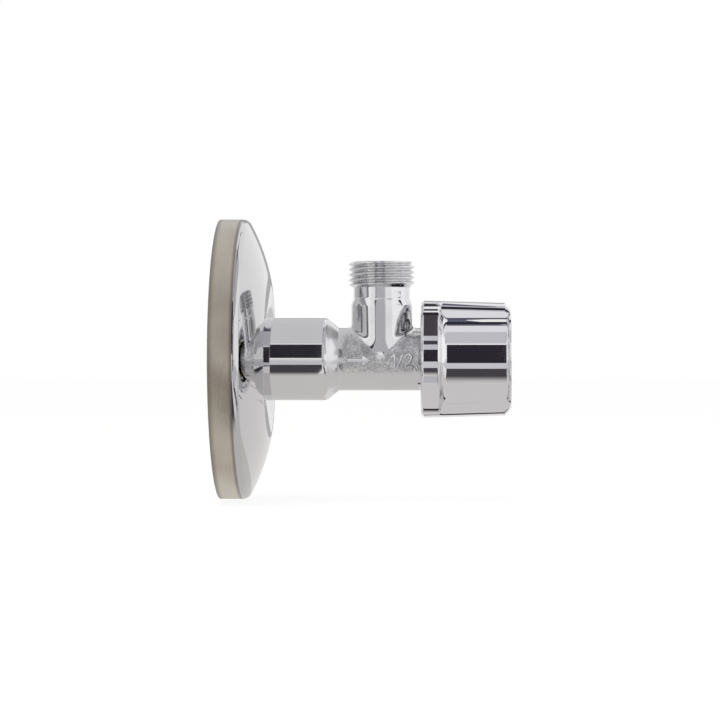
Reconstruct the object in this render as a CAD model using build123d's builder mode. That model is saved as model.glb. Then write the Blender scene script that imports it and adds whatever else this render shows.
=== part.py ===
from build123d import *
import os
from math import cos, radians, sin, tan

# Chromed angle stop valve for a wash-basin supply.
# A cast brass body screws into the wall by its threaded inlet. A loose sheet
# rosette covers the hole in the wall, a threaded neck on top takes the supply
# pipe, and a moulded knob drives a rising spindle that lifts the clack off its seat.
# +X runs along the valve from the wall to the knob and +Z up through the outlet.
# The origin is the centre of the inlet's open end. All sizes are in millimetres.

# Wall rosette
rosette_diameter = 71.0
rosette_crest_diameter = 41.0
rosette_crest_height = 12.5
rosette_crest_slope = 11.0
rosette_crest_fillet = 6.0
rosette_hole_height = 11.2
rosette_band = 7.0
rosette_sheet = 0.7
rosette_corner = 2.0
rosette_slip = 0.2

# Valve body, along the valve axis
inlet_thread_diameter = 20.955
inlet_thread_length = 9.4
inlet_thread_chamfer = 0.9
inlet_bore_diameter = 12.4
undercut_width = 0.8
undercut_depth = 1.3
collar_diameter = 20.9
collar_length = 16.85
cone_length = 3.0
tube_diameter = 15.86
tube_length = 27.45
edge_break = 0.3
cast_fillet = 1.0

# Valve body, outlet neck
outlet_distance = 40.9
outlet_height = 24.7
outlet_thread_diameter = 16.662
outlet_thread_length = 6.5
outlet_thread_chamfer = 0.6
outlet_bore_diameter = 10.4
outlet_mouth_chamfer = 0.7
neck_diameter = 14.35
neck_length = 2.7
foot_diameter = 15.5
foot_taper = 1.75

# Seat and water chamber inside the body
throat_diameter = 9.0
throat_length = 3.5
seat_width = 0.9
seat_height = 0.8
seat_setback = 1.45
chamber_gap = 0.5
socket_diameter = 13.4
socket_depth = 11.5

# Headwork
stroke_turns = 3.0
spindle_lead = 1.5
thread_clearance = 0.03
running_clearance = 0.05
bonnet_end_gap = 0.5
gasket_thickness = 0.8
hex_across_flats = 16.0
hex_height = 3.5
hex_chamfer = 0.6
gland_wall = 2.0
gland_length = 2.2
stop_gap = 0.3
spindle_thread_diameter = 8.0
spindle_thread_length = 3.7
spindle_stem_diameter = 7.0
o_ring_section = 1.0
o_ring_clearance = 0.02
o_ring_setback = 1.1
o_ring_spacing = 2.0
groove_side_gap = 0.25
square_across_flats = 4.9
square_gap = 0.3

# Clack with its washer
washer_thickness = 3.1
washer_overlap = 0.8
clack_thickness = 2.2
clack_gap = 0.05
clack_stem_length = 4.4
clack_stem_diameter = 4.0
clack_stem_gap = 0.4
clip_wire = 0.6
clip_setback = 1.6
clip_clearance = 0.08
clip_opening = 60.0
washer_screw_diameter = 2.4
washer_screw_grip = 1.6
washer_screw_head_diameter = 5.2
washer_screw_head_height = 1.1
screw_slot_width = 0.7
screw_slot_depth = 0.6
screw_clearance = 0.05
screw_tip_gap = 0.4

# Knob
knob_overlap = 6.55
knob_length = 22.75
skirt_diameter = 28.4
skirt_length = 4.7
skirt_edge = 0.8
skirt_step_run = 0.8
skirt_step_edge = 0.5
skirt_step_fillet = 1.7
core_diameter = 24.0
end_ring_diameter = 25.0
end_ring_width = 0.6
end_ring_run = 0.4
end_ring_fillet = 0.8
end_ring_edge = 0.2
rib_width = 8.8
rib_draft = 22.0
rib_start_diameter = 29.7
rib_end_diameter = 28.54
rib_start_chamfer = 0.8
rib_end_setback = 0.3
rib_end_chamfer = 1.3
rib_root_fillet = 1.8
rib_tip_fillet = 0.7
knob_wall = 1.8
boss_wall = 2.1
boss_gap = 0.5
socket_clearance = 0.04
socket_web = 1.0
cap_diameter = 10.0
cap_thickness = 1.1
cap_crown = 0.2
cap_seat_gap = 0.1
cap_clearance = 0.05
knob_screw_diameter = 2.9
knob_screw_depth = 4.5
knob_screw_head_diameter = 5.4
knob_screw_head_height = 1.2
knob_screw_head_room = 1.4
head_side_gap = 0.4

# Stations along the valve, worked out from the sizes above
collar_start = inlet_thread_length + undercut_width
cone_start = collar_start + collar_length
tube_start = cone_start + cone_length
tube_end = tube_start + tube_length
seat_x = outlet_distance - outlet_bore_diameter / 2 - seat_setback
inlet_bore_end = seat_x - throat_length
socket_start = tube_end - socket_depth
bonnet_start = socket_start + bonnet_end_gap
hex_start = tube_end + gasket_thickness
hex_end = hex_start + hex_height
gland_end = hex_end + gland_length
stroke = stroke_turns * spindle_lead
spindle_thread_start = bonnet_start + stop_gap
spindle_thread_end = spindle_thread_start + spindle_thread_length
bonnet_stop = spindle_thread_end + stroke + stop_gap
o_ring_stations = [bonnet_stop + o_ring_setback, bonnet_stop + o_ring_setback + o_ring_spacing]
square_start = gland_end + square_gap
clack_start = seat_x + washer_thickness
clack_end = clack_start + clack_thickness
spindle_start = clack_end + clack_gap
clack_stem_end = clack_end + clack_stem_length
clip_x = clack_stem_end - clip_setback
knob_start = tube_end - knob_overlap
knob_end = knob_start + knob_length
skirt_end = knob_start + skirt_length
end_ring_start = knob_end - end_ring_width
cap_seat = knob_end - cap_thickness - cap_seat_gap
screw_seat = cap_seat - knob_screw_head_room
socket_floor = screw_seat - socket_web
square_end = socket_floor - cap_seat_gap
boss_start = gland_end + boss_gap

# Radii shared by pieces that fit each other
inlet_thread_radius = inlet_thread_diameter / 2
collar_radius = collar_diameter / 2
tube_radius = tube_diameter / 2
outlet_thread_radius = outlet_thread_diameter / 2
outlet_bore_radius = outlet_bore_diameter / 2
throat_radius = throat_diameter / 2
seat_radius = throat_radius + seat_width
washer_radius = throat_radius + washer_overlap
clack_radius = washer_radius + chamber_gap
chamber_radius = clack_radius + chamber_gap
socket_radius = socket_diameter / 2
bonnet_thread_radius = socket_radius - thread_clearance
spindle_thread_radius = spindle_thread_diameter / 2
spindle_stem_radius = spindle_stem_diameter / 2
seal_bore_radius = spindle_stem_radius + running_clearance
gland_radius = seal_bore_radius + gland_wall
o_ring_radius = seal_bore_radius - o_ring_clearance - o_ring_section / 2
groove_radius = o_ring_radius - o_ring_section / 2 - o_ring_clearance
clack_stem_radius = clack_stem_diameter / 2
stem_hole_radius = clack_stem_radius + running_clearance
rosette_radius = rosette_diameter / 2
rosette_hole_radius = collar_radius + rosette_slip
skirt_radius = skirt_diameter / 2
core_radius = core_diameter / 2
end_ring_radius = end_ring_diameter / 2
cap_radius = cap_diameter / 2

outlet_axis = Axis((outlet_distance, 0, 0), (0, 0, 1))


def turned(outline):
    """Solid of revolution about the valve axis, from (x, radius) points of half its section."""
    with BuildPart() as blank:
        with BuildSketch(Plane.XZ):
            with BuildLine():
                Polyline(*outline, close=True)
            make_face()
        revolve(axis=Axis.X)
    return blank.part


def slotted_screw(head_x, head_end_x, tip_x, head_radius, shank_radius):
    """Slotted screw on the valve axis: head from head_x to head_end_x, shank on to tip_x."""
    side = 1 if head_end_x > head_x else -1
    with BuildPart() as screw:
        add(
            turned(
                [
                    (head_x, 0),
                    (head_x, head_radius),
                    (head_end_x, head_radius),
                    (head_end_x, shank_radius),
                    (tip_x, shank_radius),
                    (tip_x, 0),
                ]
            )
        )
        with BuildSketch(Plane.YZ.offset(head_x)):
            Rectangle(screw_slot_width, 3 * head_radius)
        extrude(amount=side * screw_slot_depth, mode=Mode.SUBTRACT)
    return screw.part


# Cast body: threaded inlet, machined collar, cone, tube and outlet neck in one piece
with BuildPart() as valve_body:
    undercut_radius = inlet_thread_radius - undercut_depth
    add(
        turned(
            [
                (0, 0),
                (0, inlet_thread_radius - inlet_thread_chamfer),
                (inlet_thread_chamfer, inlet_thread_radius),
                (inlet_thread_length, inlet_thread_radius),
                (inlet_thread_length, undercut_radius),
                (collar_start, undercut_radius),
                (collar_start, collar_radius - edge_break),
                (collar_start + edge_break, collar_radius),
                (cone_start, collar_radius),
                (tube_start, tube_radius),
                (tube_end, tube_radius),
                (tube_end, 0),
            ]
        )
    )
    thread_start = outlet_height - outlet_thread_length
    neck_start = thread_start - neck_length
    foot_top = neck_start - foot_taper
    with BuildSketch(Plane.XZ):
        with BuildLine():
            Polyline(
                (outlet_distance, 0),
                (outlet_distance + foot_diameter / 2, 0),
                (outlet_distance + foot_diameter / 2, foot_top),
                (outlet_distance + neck_diameter / 2, neck_start),
                (outlet_distance + neck_diameter / 2, thread_start),
                (outlet_distance + outlet_thread_radius, thread_start + outlet_thread_chamfer),
                (outlet_distance + outlet_thread_radius, outlet_height - outlet_thread_chamfer),
                (outlet_distance + outlet_thread_radius - outlet_thread_chamfer, outlet_height),
                (outlet_distance, outlet_height),
                close=True,
            )
        make_face()
    revolve(axis=outlet_axis)
    # The casting runs from the neck's foot into the tube in a small fillet.
    turned_edges = valve_body.edges().filter_by(GeomType.CIRCLE) + valve_body.edges().filter_by(GeomType.LINE)
    fillet(valve_body.edges() - turned_edges, cast_fillet)
    # Inlet bore, throat, raised seat, chamber and the socket for the headwork.
    add(
        turned(
            [
                (0, 0),
                (0, inlet_bore_diameter / 2),
                (inlet_bore_end, inlet_bore_diameter / 2),
                (inlet_bore_end, throat_radius),
                (seat_x, throat_radius),
                (seat_x, seat_radius),
                (seat_x - seat_height, seat_radius),
                (seat_x - seat_height, chamber_radius),
                (socket_start, chamber_radius),
                (socket_start, socket_radius),
                (tube_end, socket_radius),
                (tube_end, 0),
            ]
        ),
        mode=Mode.SUBTRACT,
    )
    with BuildSketch(Plane.XZ):
        with BuildLine():
            Polyline(
                (outlet_distance, 0),
                (outlet_distance + outlet_bore_radius, 0),
                (outlet_distance + outlet_bore_radius, outlet_height - outlet_mouth_chamfer),
                (outlet_distance + outlet_bore_radius + outlet_mouth_chamfer, outlet_height),
                (outlet_distance, outlet_height),
                close=True,
            )
        make_face()
    revolve(axis=outlet_axis, mode=Mode.SUBTRACT)
valve_body.part.label = "valve_body"

# Pressed sheet rosette that slides on the collar and closes against the wall. Its dome rises to a
# crest and dips again towards the hole.
rosette_crest_radius = rosette_crest_diameter / 2
with BuildPart() as wall_rosette:
    with BuildSketch(Plane.XZ):
        with BuildLine() as sheet_line:
            Line((0, rosette_radius), (rosette_band, rosette_radius))
            TangentArc(
                (rosette_crest_height, rosette_crest_radius),
                (rosette_band, rosette_radius),
                tangent=(-sin(radians(rosette_crest_slope)), cos(radians(rosette_crest_slope))),
            )
            Line(
                (rosette_crest_height, rosette_crest_radius),
                (rosette_hole_height, rosette_hole_radius),
            )
            band_corner = sheet_line.vertices().sort_by_distance((rosette_band, rosette_radius))[0]
            fillet(band_corner, rosette_corner)
            crest = sheet_line.vertices().sort_by_distance((rosette_crest_height, rosette_crest_radius))[0]
            fillet(crest, rosette_crest_fillet)
            offset(amount=rosette_sheet, side=Side.RIGHT)
        make_face()
    revolve(axis=Axis.X)
wall_rosette.part.label = "wall_rosette"

# Blank of the bonnet's hexagon, with both ends chamfered on the lathe
with BuildPart() as hexagon:
    hex_corner = hex_across_flats / 2 / cos(radians(30))
    with BuildSketch(Plane.YZ.offset(hex_start)):
        RegularPolygon(hex_corner, 6)
    extrude(amount=hex_height)
    add(
        turned(
            [
                (hex_start, 0),
                (hex_start, hex_across_flats / 2),
                (hex_start + hex_chamfer, hex_corner),
                (hex_end - hex_chamfer, hex_corner),
                (hex_end, hex_across_flats / 2),
                (hex_end, 0),
            ]
        ),
        mode=Mode.INTERSECT,
    )

# Headwork bonnet: threaded plug, hexagon for the spanner and gland round the spindle
with BuildPart() as bonnet:
    add(
        turned(
            [
                (bonnet_start, 0),
                (bonnet_start, bonnet_thread_radius - edge_break),
                (bonnet_start + edge_break, bonnet_thread_radius),
                (hex_start, bonnet_thread_radius),
                (hex_start, gland_radius),
                (gland_end - edge_break, gland_radius),
                (gland_end, gland_radius - edge_break),
                (gland_end, 0),
            ]
        )
    )
    add(hexagon.part)
    add(
        turned(
            [
                (bonnet_start, 0),
                (bonnet_start, spindle_thread_radius + running_clearance),
                (bonnet_stop, spindle_thread_radius + running_clearance),
                (bonnet_stop, seal_bore_radius),
                (gland_end, seal_bore_radius),
                (gland_end, 0),
            ]
        ),
        mode=Mode.SUBTRACT,
    )
bonnet.part.label = "bonnet"

# Fibre ring pinched between the tube's end and the hexagon
with BuildPart() as bonnet_gasket:
    add(
        turned(
            [
                (tube_end, socket_radius),
                (tube_end, tube_radius),
                (hex_start, tube_radius),
                (hex_start, socket_radius),
            ]
        )
    )
bonnet_gasket.part.label = "bonnet_gasket"

# Spindle: threaded nose, smooth stem with two seal grooves, square end for the knob
clip_groove = clip_wire / 2 + clip_clearance
with BuildPart() as spindle:
    add(
        turned(
            [
                (spindle_start, 0),
                (spindle_start, spindle_thread_radius - edge_break),
                (spindle_start + edge_break, spindle_thread_radius),
                (spindle_thread_end, spindle_thread_radius),
                (spindle_thread_end, spindle_stem_radius),
                (square_start, spindle_stem_radius),
                (square_start, 0),
            ]
        )
    )
    with BuildSketch(Plane.YZ.offset(square_start)):
        Rectangle(square_across_flats, square_across_flats)
    extrude(amount=square_end - square_start)
    for station in o_ring_stations:
        half_width = o_ring_section / 2 + groove_side_gap
        add(
            turned(
                [
                    (station - half_width, groove_radius),
                    (station - half_width, spindle_thread_radius),
                    (station + half_width, spindle_thread_radius),
                    (station + half_width, groove_radius),
                ]
            ),
            mode=Mode.SUBTRACT,
        )
    # Blind hole for the clack's stem, with a groove for the clip.
    add(
        turned(
            [
                (spindle_start, 0),
                (spindle_start, stem_hole_radius),
                (clip_x - clip_groove, stem_hole_radius),
                (clip_x - clip_groove, clack_stem_radius + clip_groove),
                (clip_x + clip_groove, clack_stem_radius + clip_groove),
                (clip_x + clip_groove, stem_hole_radius),
                (clack_stem_end + clack_stem_gap, stem_hole_radius),
                (clack_stem_end + clack_stem_gap, 0),
            ]
        ),
        mode=Mode.SUBTRACT,
    )
    # Tapped hole for the knob's screw.
    with BuildSketch(Plane.YZ.offset(square_end)):
        Circle(knob_screw_diameter / 2 + screw_clearance)
    extrude(amount=-knob_screw_depth - screw_tip_gap, mode=Mode.SUBTRACT)
spindle.part.label = "spindle"

# Rubber rings in the spindle's grooves
o_rings = []
for ring_name, station in zip(["spindle_o_ring_inner", "spindle_o_ring_outer"], o_ring_stations):
    with BuildPart() as o_ring:
        with BuildSketch(Plane.XZ):
            with Locations((station, o_ring_radius)):
                Circle(o_ring_section / 2)
        revolve(axis=Axis.X)
    o_ring.part.label = ring_name
    o_rings.append(o_ring)

# Clack: the disc that carries the washer, on a stem that is free to turn in the spindle
washer_screw_tip = clack_start + washer_screw_grip
with BuildPart() as clack:
    add(
        turned(
            [
                (clack_start, 0),
                (clack_start, clack_radius),
                (clack_end, clack_radius),
                (clack_end, clack_stem_radius),
                (clip_x - clip_groove, clack_stem_radius),
                (clip_x - clip_groove, clack_stem_radius - clip_groove),
                (clip_x + clip_groove, clack_stem_radius - clip_groove),
                (clip_x + clip_groove, clack_stem_radius),
                (clack_stem_end, clack_stem_radius),
                (clack_stem_end, 0),
            ]
        )
    )
    with BuildSketch(Plane.YZ.offset(clack_start)):
        Circle(washer_screw_diameter / 2 + screw_clearance)
    extrude(amount=washer_screw_grip + screw_tip_gap, mode=Mode.SUBTRACT)
clack.part.label = "clack"

# Open wire ring, half in the stem's groove and half in the spindle's
with BuildPart() as jumper_clip:
    with BuildSketch(Plane.XZ):
        with Locations((clip_x, clack_stem_radius)):
            Circle(clip_wire / 2)
    revolve(axis=Axis.X, revolution_arc=360 - clip_opening)
jumper_clip.part.label = "jumper_clip"

# Rubber washer that closes on the seat
with BuildPart() as seat_washer:
    with BuildSketch(Plane.YZ.offset(seat_x)):
        Circle(washer_radius)
        Circle(washer_screw_diameter / 2 + screw_clearance, mode=Mode.SUBTRACT)
    extrude(amount=washer_thickness)
seat_washer.part.label = "seat_washer"

# Screws of the washer and of the knob
with BuildPart() as washer_screw:
    add(
        slotted_screw(
            seat_x - washer_screw_head_height,
            seat_x,
            washer_screw_tip,
            washer_screw_head_diameter / 2,
            washer_screw_diameter / 2,
        )
    )
washer_screw.part.label = "washer_screw"

with BuildPart() as knob_screw:
    add(
        slotted_screw(
            screw_seat + knob_screw_head_height,
            screw_seat,
            square_end - knob_screw_depth,
            knob_screw_head_diameter / 2,
            knob_screw_diameter / 2,
        )
    )
knob_screw.part.label = "knob_screw"

# The knob's core with its two opposite ribs, which draw in towards the free end and taper outwards
rib_end = knob_end - rib_end_setback
rib_start_radius = rib_start_diameter / 2
rib_end_radius = rib_end_diameter / 2
rib_flare = tan(radians(rib_draft))
rib_blank_height = 1.2 * rib_start_radius
rib_blank_middle = rib_width / 2 + rib_start_radius * rib_flare
rib_blank_end = rib_blank_middle - rib_blank_height * rib_flare
with BuildPart() as ribbed_core:
    add(
        turned(
            [
                (knob_start, 0),
                (knob_start, rib_start_radius - rib_start_chamfer),
                (knob_start + rib_start_chamfer, rib_start_radius),
                (rib_end - rib_end_chamfer, rib_end_radius),
                (rib_end, rib_end_radius - rib_end_chamfer),
                (rib_end, 0),
            ]
        )
    )
    with BuildSketch(Plane.YZ.offset(knob_start)):
        Polygon(
            (rib_blank_middle, 0),
            (rib_blank_end, rib_blank_height),
            (-rib_blank_end, rib_blank_height),
            (-rib_blank_middle, 0),
            (-rib_blank_end, -rib_blank_height),
            (rib_blank_end, -rib_blank_height),
            align=None,
        )
    extrude(amount=knob_length, mode=Mode.INTERSECT)
    tip_lines = ribbed_core.edges().filter_by(Plane.YZ, reverse=True)
    fillet(tip_lines.filter_by_position(Axis.Y, -rib_width, rib_width), rib_tip_fillet)
    with BuildSketch(Plane.YZ.offset(knob_start)):
        Circle(core_radius)
    extrude(amount=rib_end - knob_start)
    root_lines = ribbed_core.edges().filter_by(Axis.X).filter_by_position(Axis.Y, -rib_width, rib_width)
    fillet(root_lines, rib_root_fillet)

# Moulded knob: a skirt round the headwork, the ribbed core, and a boss on the spindle's square
skirt_inside = skirt_radius - knob_wall
core_inside = core_radius - knob_wall
socket_across_flats = square_across_flats + 2 * socket_clearance
boss_radius = socket_across_flats / 2 / cos(radians(45)) + boss_wall
with BuildPart() as knob:
    with BuildSketch(Plane.XZ):
        with BuildLine():
            FilletPolyline(
                (knob_start, 0),
                (knob_start, skirt_radius),
                (skirt_end, skirt_radius),
                (skirt_end + skirt_step_run, core_radius),
                (end_ring_start - end_ring_run, core_radius),
                (end_ring_start, end_ring_radius),
                (knob_end, end_ring_radius),
                (knob_end, 0),
                radius=[
                    skirt_edge,
                    skirt_step_edge,
                    skirt_step_fillet,
                    end_ring_fillet,
                    end_ring_edge,
                    end_ring_edge,
                ],
            )
            Line((knob_end, 0), (knob_start, 0))
        make_face()
    revolve(axis=Axis.X)
    add(ribbed_core.part)
    add(
        turned(
            [
                (knob_start, 0),
                (knob_start, skirt_inside),
                (skirt_end - knob_wall, skirt_inside),
                (skirt_end - knob_wall, core_inside),
                (knob_end - knob_wall, core_inside),
                (knob_end - knob_wall, 0),
            ]
        ),
        mode=Mode.SUBTRACT,
    )
    with BuildSketch(Plane.YZ.offset(boss_start)):
        Circle(boss_radius)
    extrude(amount=knob_end - knob_wall - boss_start)
    with BuildSketch(Plane.YZ.offset(boss_start)):
        Rectangle(socket_across_flats, socket_across_flats)
    extrude(amount=socket_floor - boss_start, mode=Mode.SUBTRACT)
    add(
        turned(
            [
                (boss_start, 0),
                (boss_start, knob_screw_diameter / 2 + 2 * screw_clearance),
                (screw_seat, knob_screw_diameter / 2 + 2 * screw_clearance),
                (screw_seat, knob_screw_head_diameter / 2 + head_side_gap),
                (cap_seat, knob_screw_head_diameter / 2 + head_side_gap),
                (cap_seat, cap_radius + cap_clearance),
                (knob_end, cap_radius + cap_clearance),
                (knob_end, 0),
            ]
        ),
        mode=Mode.SUBTRACT,
    )
knob.part.label = "knob"

# Cap that closes the screw's recess, slightly crowned
with BuildPart() as knob_cap:
    cap_top = cap_seat + cap_thickness
    with BuildSketch(Plane.XZ):
        with BuildLine():
            Polyline((cap_top, cap_radius), (cap_seat, cap_radius), (cap_seat, 0), (cap_top + cap_crown, 0))
            TangentArc((cap_top + cap_crown, 0), (cap_top, cap_radius), tangent=(0, 1))
        make_face()
    revolve(axis=Axis.X)
knob_cap.part.label = "knob_cap"

os.makedirs("parts", exist_ok=True)
export_step(valve_body.part, "parts/valve_body.step")
export_step(wall_rosette.part, "parts/wall_rosette.step")
export_step(bonnet.part, "parts/bonnet.step")
export_step(bonnet_gasket.part, "parts/bonnet_gasket.step")
export_step(spindle.part, "parts/spindle.step")
for o_ring in o_rings:
    export_step(o_ring.part, f"parts/{o_ring.part.label}.step")
export_step(clack.part, "parts/clack.step")
export_step(jumper_clip.part, "parts/jumper_clip.step")
export_step(seat_washer.part, "parts/seat_washer.step")
export_step(washer_screw.part, "parts/washer_screw.step")
export_step(knob.part, "parts/knob.step")
export_step(knob_screw.part, "parts/knob_screw.step")
export_step(knob_cap.part, "parts/knob_cap.step")
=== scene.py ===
import bmesh
import bpy
import numpy as np
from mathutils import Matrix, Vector


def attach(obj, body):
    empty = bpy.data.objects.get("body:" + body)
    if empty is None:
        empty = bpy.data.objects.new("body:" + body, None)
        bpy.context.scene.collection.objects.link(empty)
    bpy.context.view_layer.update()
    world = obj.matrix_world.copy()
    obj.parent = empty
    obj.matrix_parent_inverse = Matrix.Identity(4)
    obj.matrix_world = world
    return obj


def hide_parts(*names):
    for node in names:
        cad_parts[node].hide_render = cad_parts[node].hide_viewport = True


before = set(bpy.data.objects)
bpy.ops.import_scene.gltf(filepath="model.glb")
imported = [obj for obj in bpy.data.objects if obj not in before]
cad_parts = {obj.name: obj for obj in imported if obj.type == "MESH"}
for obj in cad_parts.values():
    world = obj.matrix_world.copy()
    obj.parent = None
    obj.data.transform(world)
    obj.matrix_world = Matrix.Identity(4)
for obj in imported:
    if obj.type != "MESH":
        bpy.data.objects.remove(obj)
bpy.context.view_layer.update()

# Wall rosette: one disc of steel sheet, pressed to a low dome with a straight rim and chromed.
# The dome is buffed bright and the rim keeps the fine rings of its turning. It is loose on the
# body's collar and slides back to cover the hole in the wall.
rosette_radius = 35.5
rosette_rim = 7.0
rosette_hole = 10.65
hole_height = 11.2
crest_radius = 20.5
crest_height = 12.5
crest_slope = np.radians(11.0)
crest_fillet = 6.0
rosette_sheet = 0.7
rosette_corner = 2.0
rosette_edge = 0.15
rosette_columns = 256
fillet_rows = 4


def rounded(corners, radii, steps=8, margin=0.05):
    """Outline through corners, each rounded off: an arc starts at its radius times the tangent of half
    the turn and is walked in equal angles. A point a margin outside each end of an arc keeps the flat
    beside it flat in shading. The first and last corner stay sharp."""
    corners = np.asarray(corners, float)
    rows = [corners[:1]]
    for before, corner, after, radius in zip(corners, corners[1:], corners[2:], radii):
        back = (before - corner) / np.linalg.norm(before - corner)
        ahead = (after - corner) / np.linalg.norm(after - corner)
        turn = np.pi - np.arccos(np.clip(back @ ahead, -1, 1))
        reach = radius * np.tan(turn / 2)
        middle = (back + ahead) / np.linalg.norm(back + ahead)
        across = (ahead - back) / np.linalg.norm(ahead - back)
        centre = corner + middle * radius / np.cos(turn / 2)
        swing = np.linspace(-turn / 2, turn / 2, steps + 1)[:, None]
        arc = centre - radius * (np.cos(swing) * middle - np.sin(swing) * across)
        rows += [[corner + back * (reach + margin)], arc, [corner + ahead * (reach + margin)]]
    return np.vstack(rows + [corners[-1:]])


def turned(outline, angles):
    """Surface of revolution about the valve axis: each (x, radius) point of the outline goes round
    through the angles, counted from straight up towards the back."""
    x, radius = np.asarray(outline, float).T[:, :, None]
    return np.stack(np.broadcast_arrays(x, radius * np.sin(angles), radius * np.cos(angles)), axis=-1)


def make_piece(name, grids, material):
    """One smooth mesh from grids of points: neighbours on a grid make quads, and points that coincide
    are merged, which closes the seams and joins the grids."""
    places, quads, start = [], [], 0
    for grid in grids:
        rows, columns = grid.shape[:2]
        index = start + np.arange(rows * columns).reshape(rows, columns)
        corners = [index[:-1, :-1], index[1:, :-1], index[1:, 1:], index[:-1, 1:]]
        quads.append(np.stack(corners, axis=-1).reshape(-1, 4))
        places.append(grid.reshape(-1, 3) * 0.001)
        start += rows * columns
    mesh = bpy.data.meshes.new(name)
    mesh.from_pydata(np.vstack(places), [], np.vstack(quads).tolist())
    merged = bmesh.new()
    merged.from_mesh(mesh)
    bmesh.ops.remove_doubles(merged, verts=merged.verts, dist=2e-6)
    bmesh.ops.recalc_face_normals(merged, faces=merged.faces)
    merged.to_mesh(mesh)
    merged.free()
    mesh.shade_smooth()
    mesh.materials.append(material)
    piece = bpy.data.objects.new(name, mesh)
    bpy.context.scene.collection.objects.link(piece)
    return piece


def place(tree, kind, inputs, **settings):
    """Puts one node of a kind into the tree. An input that is given a socket is linked, and any other
    input takes the value itself."""
    node = tree.nodes.new(kind)
    for name, value in settings.items():
        setattr(node, name, value)
    for name, value in inputs.items():
        if isinstance(value, bpy.types.NodeSocket):
            tree.links.new(value, node.inputs[name])
        else:
            node.inputs[name].default_value = value
    return node


def new_material(name, metallic):
    """Empty material: its nodes, its shader and the object's own coordinates."""
    material = bpy.data.materials.new(name)
    material.use_nodes = True
    tree = material.node_tree
    shader = tree.nodes["Principled BSDF"]
    shader.inputs["Metallic"].default_value = metallic
    return material, tree, shader, place(tree, "ShaderNodeTexCoord", {}).outputs["Object"]


def new_group(name, inputs, outputs):
    """Empty shader group with named sockets, and its two end nodes."""
    group = bpy.data.node_groups.new(name, "ShaderNodeTree")
    for socket, kind in inputs.items():
        group.interface.new_socket(socket, in_out="INPUT", socket_type="NodeSocket" + kind)
    for socket, kind in outputs.items():
        group.interface.new_socket(socket, in_out="OUTPUT", socket_type="NodeSocket" + kind)
    return group, group.nodes.new("NodeGroupInput"), group.nodes.new("NodeGroupOutput")


def grain(tree, vector, size, stretch=(1.0, 1.0, 1.0), detail=3.0):
    """Noise whose grains are about so many millimetres long, times the stretch along each axis."""
    scale = tuple(1000.0 / (size * share) for share in stretch)
    mapping = place(tree, "ShaderNodeMapping", {"Vector": vector, "Scale": scale})
    inputs = {"Vector": mapping.outputs["Vector"], "Scale": 1.0, "Detail": detail}
    return place(tree, "ShaderNodeTexNoise", inputs).outputs["Fac"]


def rising(tree, value, low, high, start=0.0, end=1.0):
    """Value that goes smoothly from start to end while another goes from low to high."""
    inputs = {"Value": value, "From Min": low, "From Max": high, "To Min": start, "To Max": end}
    return place(tree, "ShaderNodeMapRange", inputs, interpolation_type="SMOOTHSTEP").outputs["Result"]


def joined(tree, operation, first, second):
    """Sum, product or other join of two values."""
    return place(tree, "ShaderNodeMath", {0: first, 1: second}, operation=operation).outputs["Value"]


def blended(tree, mask, first, second):
    """Colour that goes from the first to the second as the mask goes from 0 to 1."""
    node = place(tree, "ShaderNodeMix", {"Factor": mask}, data_type="RGBA")
    for socket, colour in zip(node.inputs[6:8], (first, second)):
        if isinstance(colour, bpy.types.NodeSocket):
            tree.links.new(colour, socket)
        else:
            socket.default_value = (*colour, 1.0)
    return node.outputs[2]


def finish_shader(tree, shader, colour, roughness, height, depth):
    """Feeds the shader: colour, roughness, and a height whose full step is so many millimetres deep."""
    bump = place(tree, "ShaderNodeBump", {"Height": height, "Strength": 1.0, "Distance": 0.001 * depth})
    tree.links.new(colour, shader.inputs["Base Color"])
    tree.links.new(roughness, shader.inputs["Roughness"])
    tree.links.new(bump.outputs["Normal"], shader.inputs["Normal"])


# Plating, as on every chromed piece: a slow drift of tone, a few dull smears left by handling, and a
# faint waviness from buffing.
plating, ends_in, ends_out = new_group(
    "plating",
    {"Vector": "Vector", "Roughness": "Float", "Smear": "Float"},
    {"Drift": "Float", "Roughness": "Float", "Height": "Float"},
)
drift = grain(plating, ends_in.outputs["Vector"], 14.0)
smear = joined(plating, "MULTIPLY", rising(plating, drift, 0.5, 0.75), ends_in.outputs["Smear"])
plating.links.new(drift, ends_out.inputs["Drift"])
plating.links.new(joined(plating, "ADD", ends_in.outputs["Roughness"], smear), ends_out.inputs["Roughness"])
plating.links.new(grain(plating, ends_in.outputs["Vector"], 6.0, detail=1.0), ends_out.inputs["Height"])

rosette_plate, tree, shader, spot = new_material("rosette_plate", 1.0)
skin = place(tree, "ShaderNodeGroup", {}, node_tree=plating)
tree.links.new(spot, skin.inputs["Vector"])
skin.inputs["Roughness"].default_value = 0.04
skin.inputs["Smear"].default_value = 0.05
sides = place(tree, "ShaderNodeSeparateXYZ", {"Vector": spot})
along = sides.outputs["X"]
on_rim = rising(tree, along, 0.0061, 0.0058)
rings = grain(tree, spot, 0.12, stretch=(1.0, 80.0, 80.0))
clouds = grain(tree, spot, 18.0, detail=2.0)
rim_tone = rising(tree, joined(tree, "ADD", joined(tree, "MULTIPLY", rings, 0.35), clouds), 0.45, 0.9)
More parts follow.
